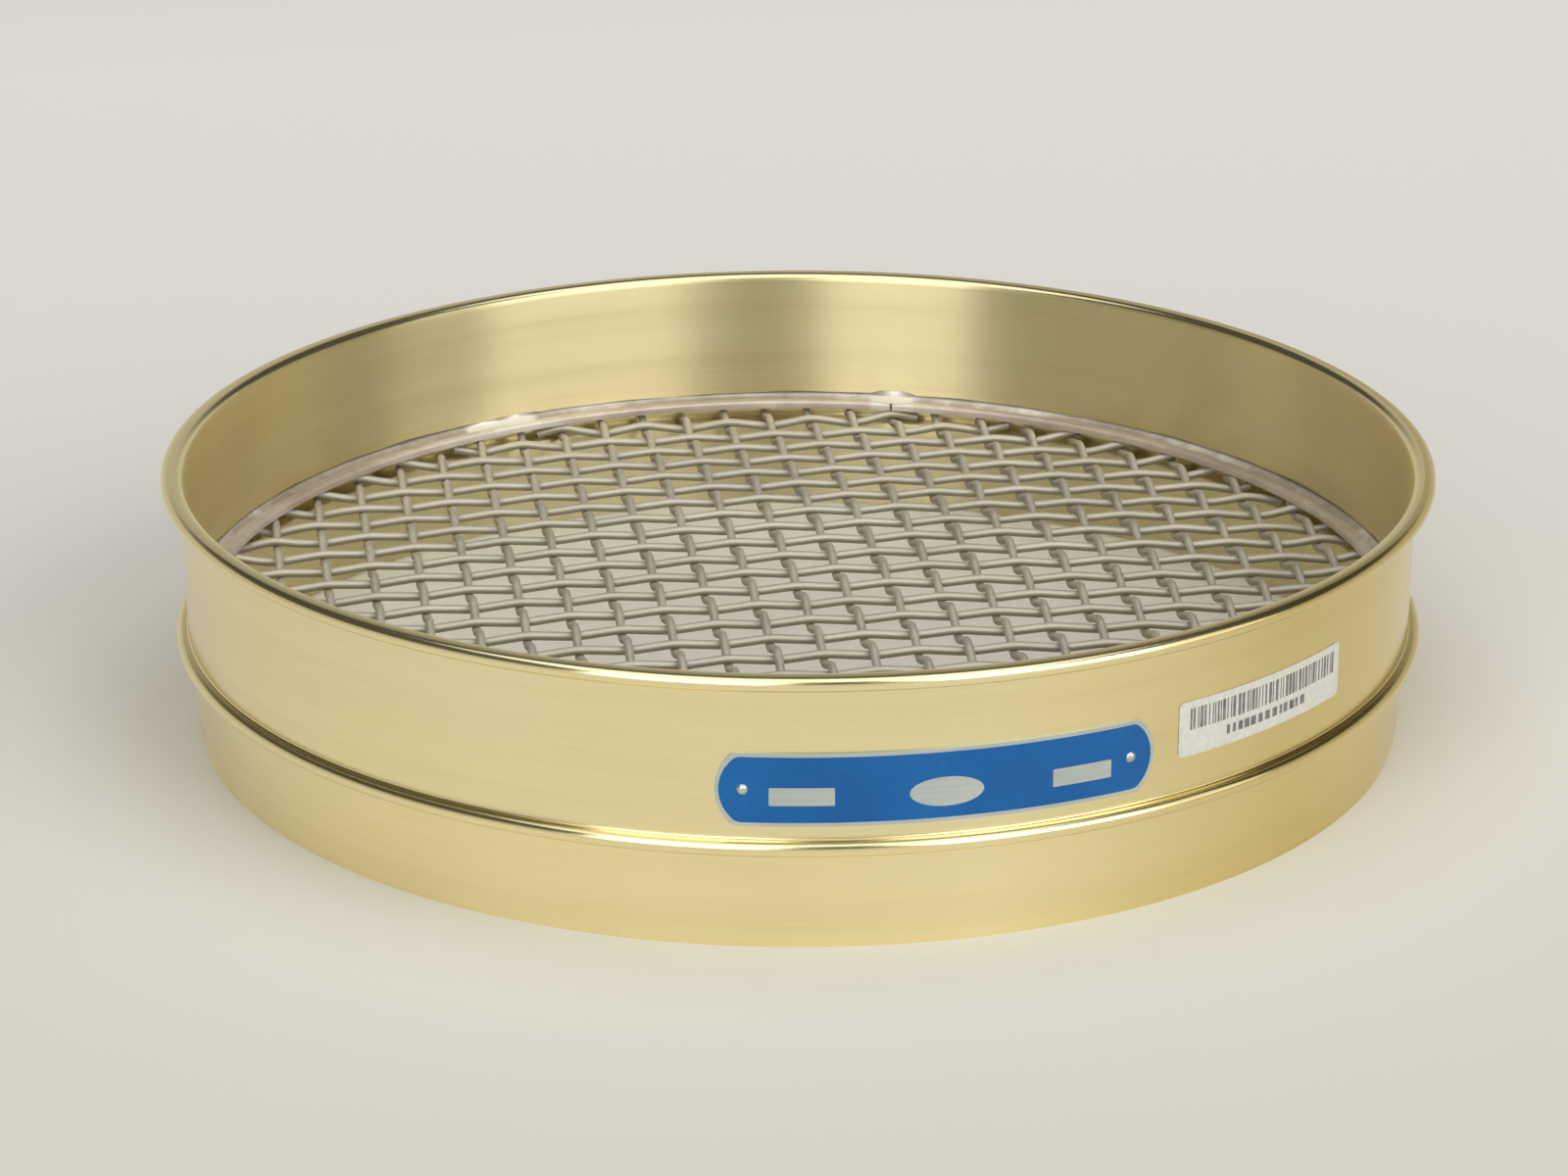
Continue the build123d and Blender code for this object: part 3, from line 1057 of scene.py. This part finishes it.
chance = random.Random(7)
bar_boxes = row_of_boxes(
    chance, label_middle - label_length / 2 + bar_margins[0],
    label_middle + label_length / 2 - bar_margins[1],
    bar_level, bar_height, (0.35, 0.55, 0.9), (0.35, 0.5, 0.8),
)
bar_boxes += row_of_boxes(
    chance, label_middle - block_reach, label_middle + block_reach,
    block_level, block_height, (1.0, 1.4, 1.7), (0.5, 0.9),
)
ink_radius = wall_outside + label_paste + label_thickness
ink_work = bmesh.new()
for middle, level, width, height in bar_boxes:
    box = rounded_box((middle, level), width, height, ink_corner, 1)
    box_mesh = rolled_sheet("bar", [box], ink_radius, ink_thickness)
    ink_work.from_mesh(box_mesh)
    bpy.data.meshes.remove(box_mesh)
ink_mesh = bpy.data.meshes.new("label_bars")
ink_work.to_mesh(ink_mesh)
ink_work.free()
keep_mesh("label_bars", ink_mesh, ink, [])

# %% [markdown]
# ## Floor, light and camera
#
# The sieve stands on a pale, warm paper floor that has no edge in view. Polished brass shows what
# is round it, so the room matters as much as the lamps. Two soft lights, to the left and right of
# the camera, give the inside its upright bright bands. A broad light above fills the cloth and the
# floor, and a weak one warms the right side. The world is bright only near the horizon, like a
# pale table in a dark room, which draws the dark lines along the rim and the rib.

# %% Floor
floor_half = 6.0            # in metres
floor_in_reflections = (0.80, 0.78, 0.72)  # painted reflection: the floor's colour only as polished metal sees it
painted_light_under_sieve = (0.93, 0.91, 0.84)


def make_floor():
    """Paper with painted light: paler towards the back, and painted brighter inside the sieve."""
    material, tree, shader = new_material("paper_floor")
    _, radius, _, place = polar(tree)
    # Painted light: the paper's colour pales from the front towards the back
    behind = node(tree, "ShaderNodeSeparateXYZ", {0: place}).outputs["Y"]
    colour = ramp(tree, spread(tree, behind, 0.0, 1.0, -0.3, 0.7), [
        (0.0, (0.655, 0.65, 0.61)), (1.0, (0.90, 0.90, 0.89)),
    ])
    # Painted reflection: glossy rays see the floor in a colour of its own
    glossy = node(tree, "ShaderNodeLightPath").outputs["Is Glossy Ray"]
    colour = mix_colour(tree, glossy, colour, floor_in_reflections)
    # Painted light: the floor is painted brighter inside the sieve, where the cloth shades it
    painted_light_patch = calc(tree, "LESS_THAN", radius, (inside_radius - 4 * sheet) * MM)
    finish_shader(tree, shader, mix_colour(tree, painted_light_patch, colour, painted_light_under_sieve), 0.9)
    mesh = bpy.data.meshes.new("floor")
    corners = [(floor_half * x, floor_half * y, 0) for x, y in ((-1, -1), (1, -1), (1, 1), (-1, 1))]
    mesh.from_pydata(corners, [], [(0, 1, 2, 3)])
    mesh.materials.append(material)
    floor = bpy.data.objects.new("floor", mesh)
    bpy.context.scene.collection.objects.link(floor)


make_floor()

# %% Lights
camera_azimuth = -12.25     # degrees from the nameplate's side
light_distance = 4.0        # in metres
light_aim = Vector((0, 0, 0.03))


def view_direction(azimuth, elevation):
    """Direction from the origin towards a camera or a lamp."""
    turn, rise = radians(azimuth), radians(elevation)
    return Vector((sin(turn) * cos(rise), -cos(turn) * cos(rise), sin(rise)))


def soft_light(name, azimuth, elevation, size, power, colour):
    """A rectangular light that faces the sieve. Azimuth 0 is the camera's side."""
    light = bpy.data.lights.new(name, "AREA")
    light.shape = "RECTANGLE"
    light.size, light.size_y = size
    light.energy = power
    light.color = colour
    lamp = bpy.data.objects.new(name, light)
    lamp.location = view_direction(azimuth + camera_azimuth, elevation) * light_distance
    lamp.rotation_euler = (light_aim - lamp.location).to_track_quat("-Z", "Y").to_euler()
    bpy.context.scene.collection.objects.link(lamp)


soft_light("right_soft_light", 44.5, 32, (3.0, 2.9), 74, (1.0, 0.985, 0.95))
soft_light("left_soft_light", -20.5, 32, (2.1, 2.9), 56, (1.0, 0.985, 0.95))
soft_light("top_light", 0, 85, (4.3, 4.3), 80, (1.0, 0.99, 0.97))
soft_light("right_fill", 78, 30, (1.7, 2.4), 14, (1.0, 0.97, 0.90))

world = bpy.data.worlds.new("studio")
bpy.context.scene.world = world
world.use_nodes = True
studio = world.node_tree
direction = node(studio, "ShaderNodeTexCoord").outputs["Generated"]
height = node(studio, "ShaderNodeSeparateXYZ", {0: direction}).outputs["Z"]
sky = studio.nodes["Background"]
link_in(studio, sky.inputs["Color"], ramp(studio, height, [
    (0.0, (0.62, 0.58, 0.46)), (0.30, (0.60, 0.565, 0.46)),
    (0.46, (0.06, 0.055, 0.045)), (1.0, (0.10, 0.095, 0.08)),
]))
sky.inputs["Strength"].default_value = 1.0

# %% Camera
camera_elevation = 21.788
camera_distance = 1.15499   # in metres
sensor_width = 36.0
focal_pixels = 4617.1       # focal length in the units of picture_width
picture_width = 1600
aim_right = 0.175           # three small turns, in degrees
aim_up = 1.376
aim_roll = -0.057


def place_camera():
    """Stand off along the view, look at the origin, then aim by three small turns."""
    place = view_direction(camera_azimuth, camera_elevation) * camera_distance
    forward = -place.normalized()
    right = forward.cross(Vector((0, 0, 1))).normalized()
    up = right.cross(forward)
    yaw = Matrix.Rotation(radians(aim_right), 3, up)
    right, forward = yaw @ right, yaw @ forward
    tilt = Matrix.Rotation(radians(aim_up), 3, right)
    up, forward = tilt @ up, tilt @ forward
    roll = Matrix.Rotation(radians(aim_roll), 3, forward)
    right, up = roll @ right, roll @ up
    data = bpy.data.cameras.new("camera")
    data.sensor_width = sensor_width
    data.lens = sensor_width * focal_pixels / picture_width
    data.clip_start = 0.05
    data.clip_end = 50
    camera = bpy.data.objects.new("camera", data)
    turn = Matrix((right, up, -forward)).transposed().to_4x4()
    camera.matrix_world = Matrix.Translation(place) @ turn
    bpy.context.scene.collection.objects.link(camera)
    bpy.context.scene.camera = camera


place_camera()
bpy.context.scene.view_settings.view_transform = "Standard"
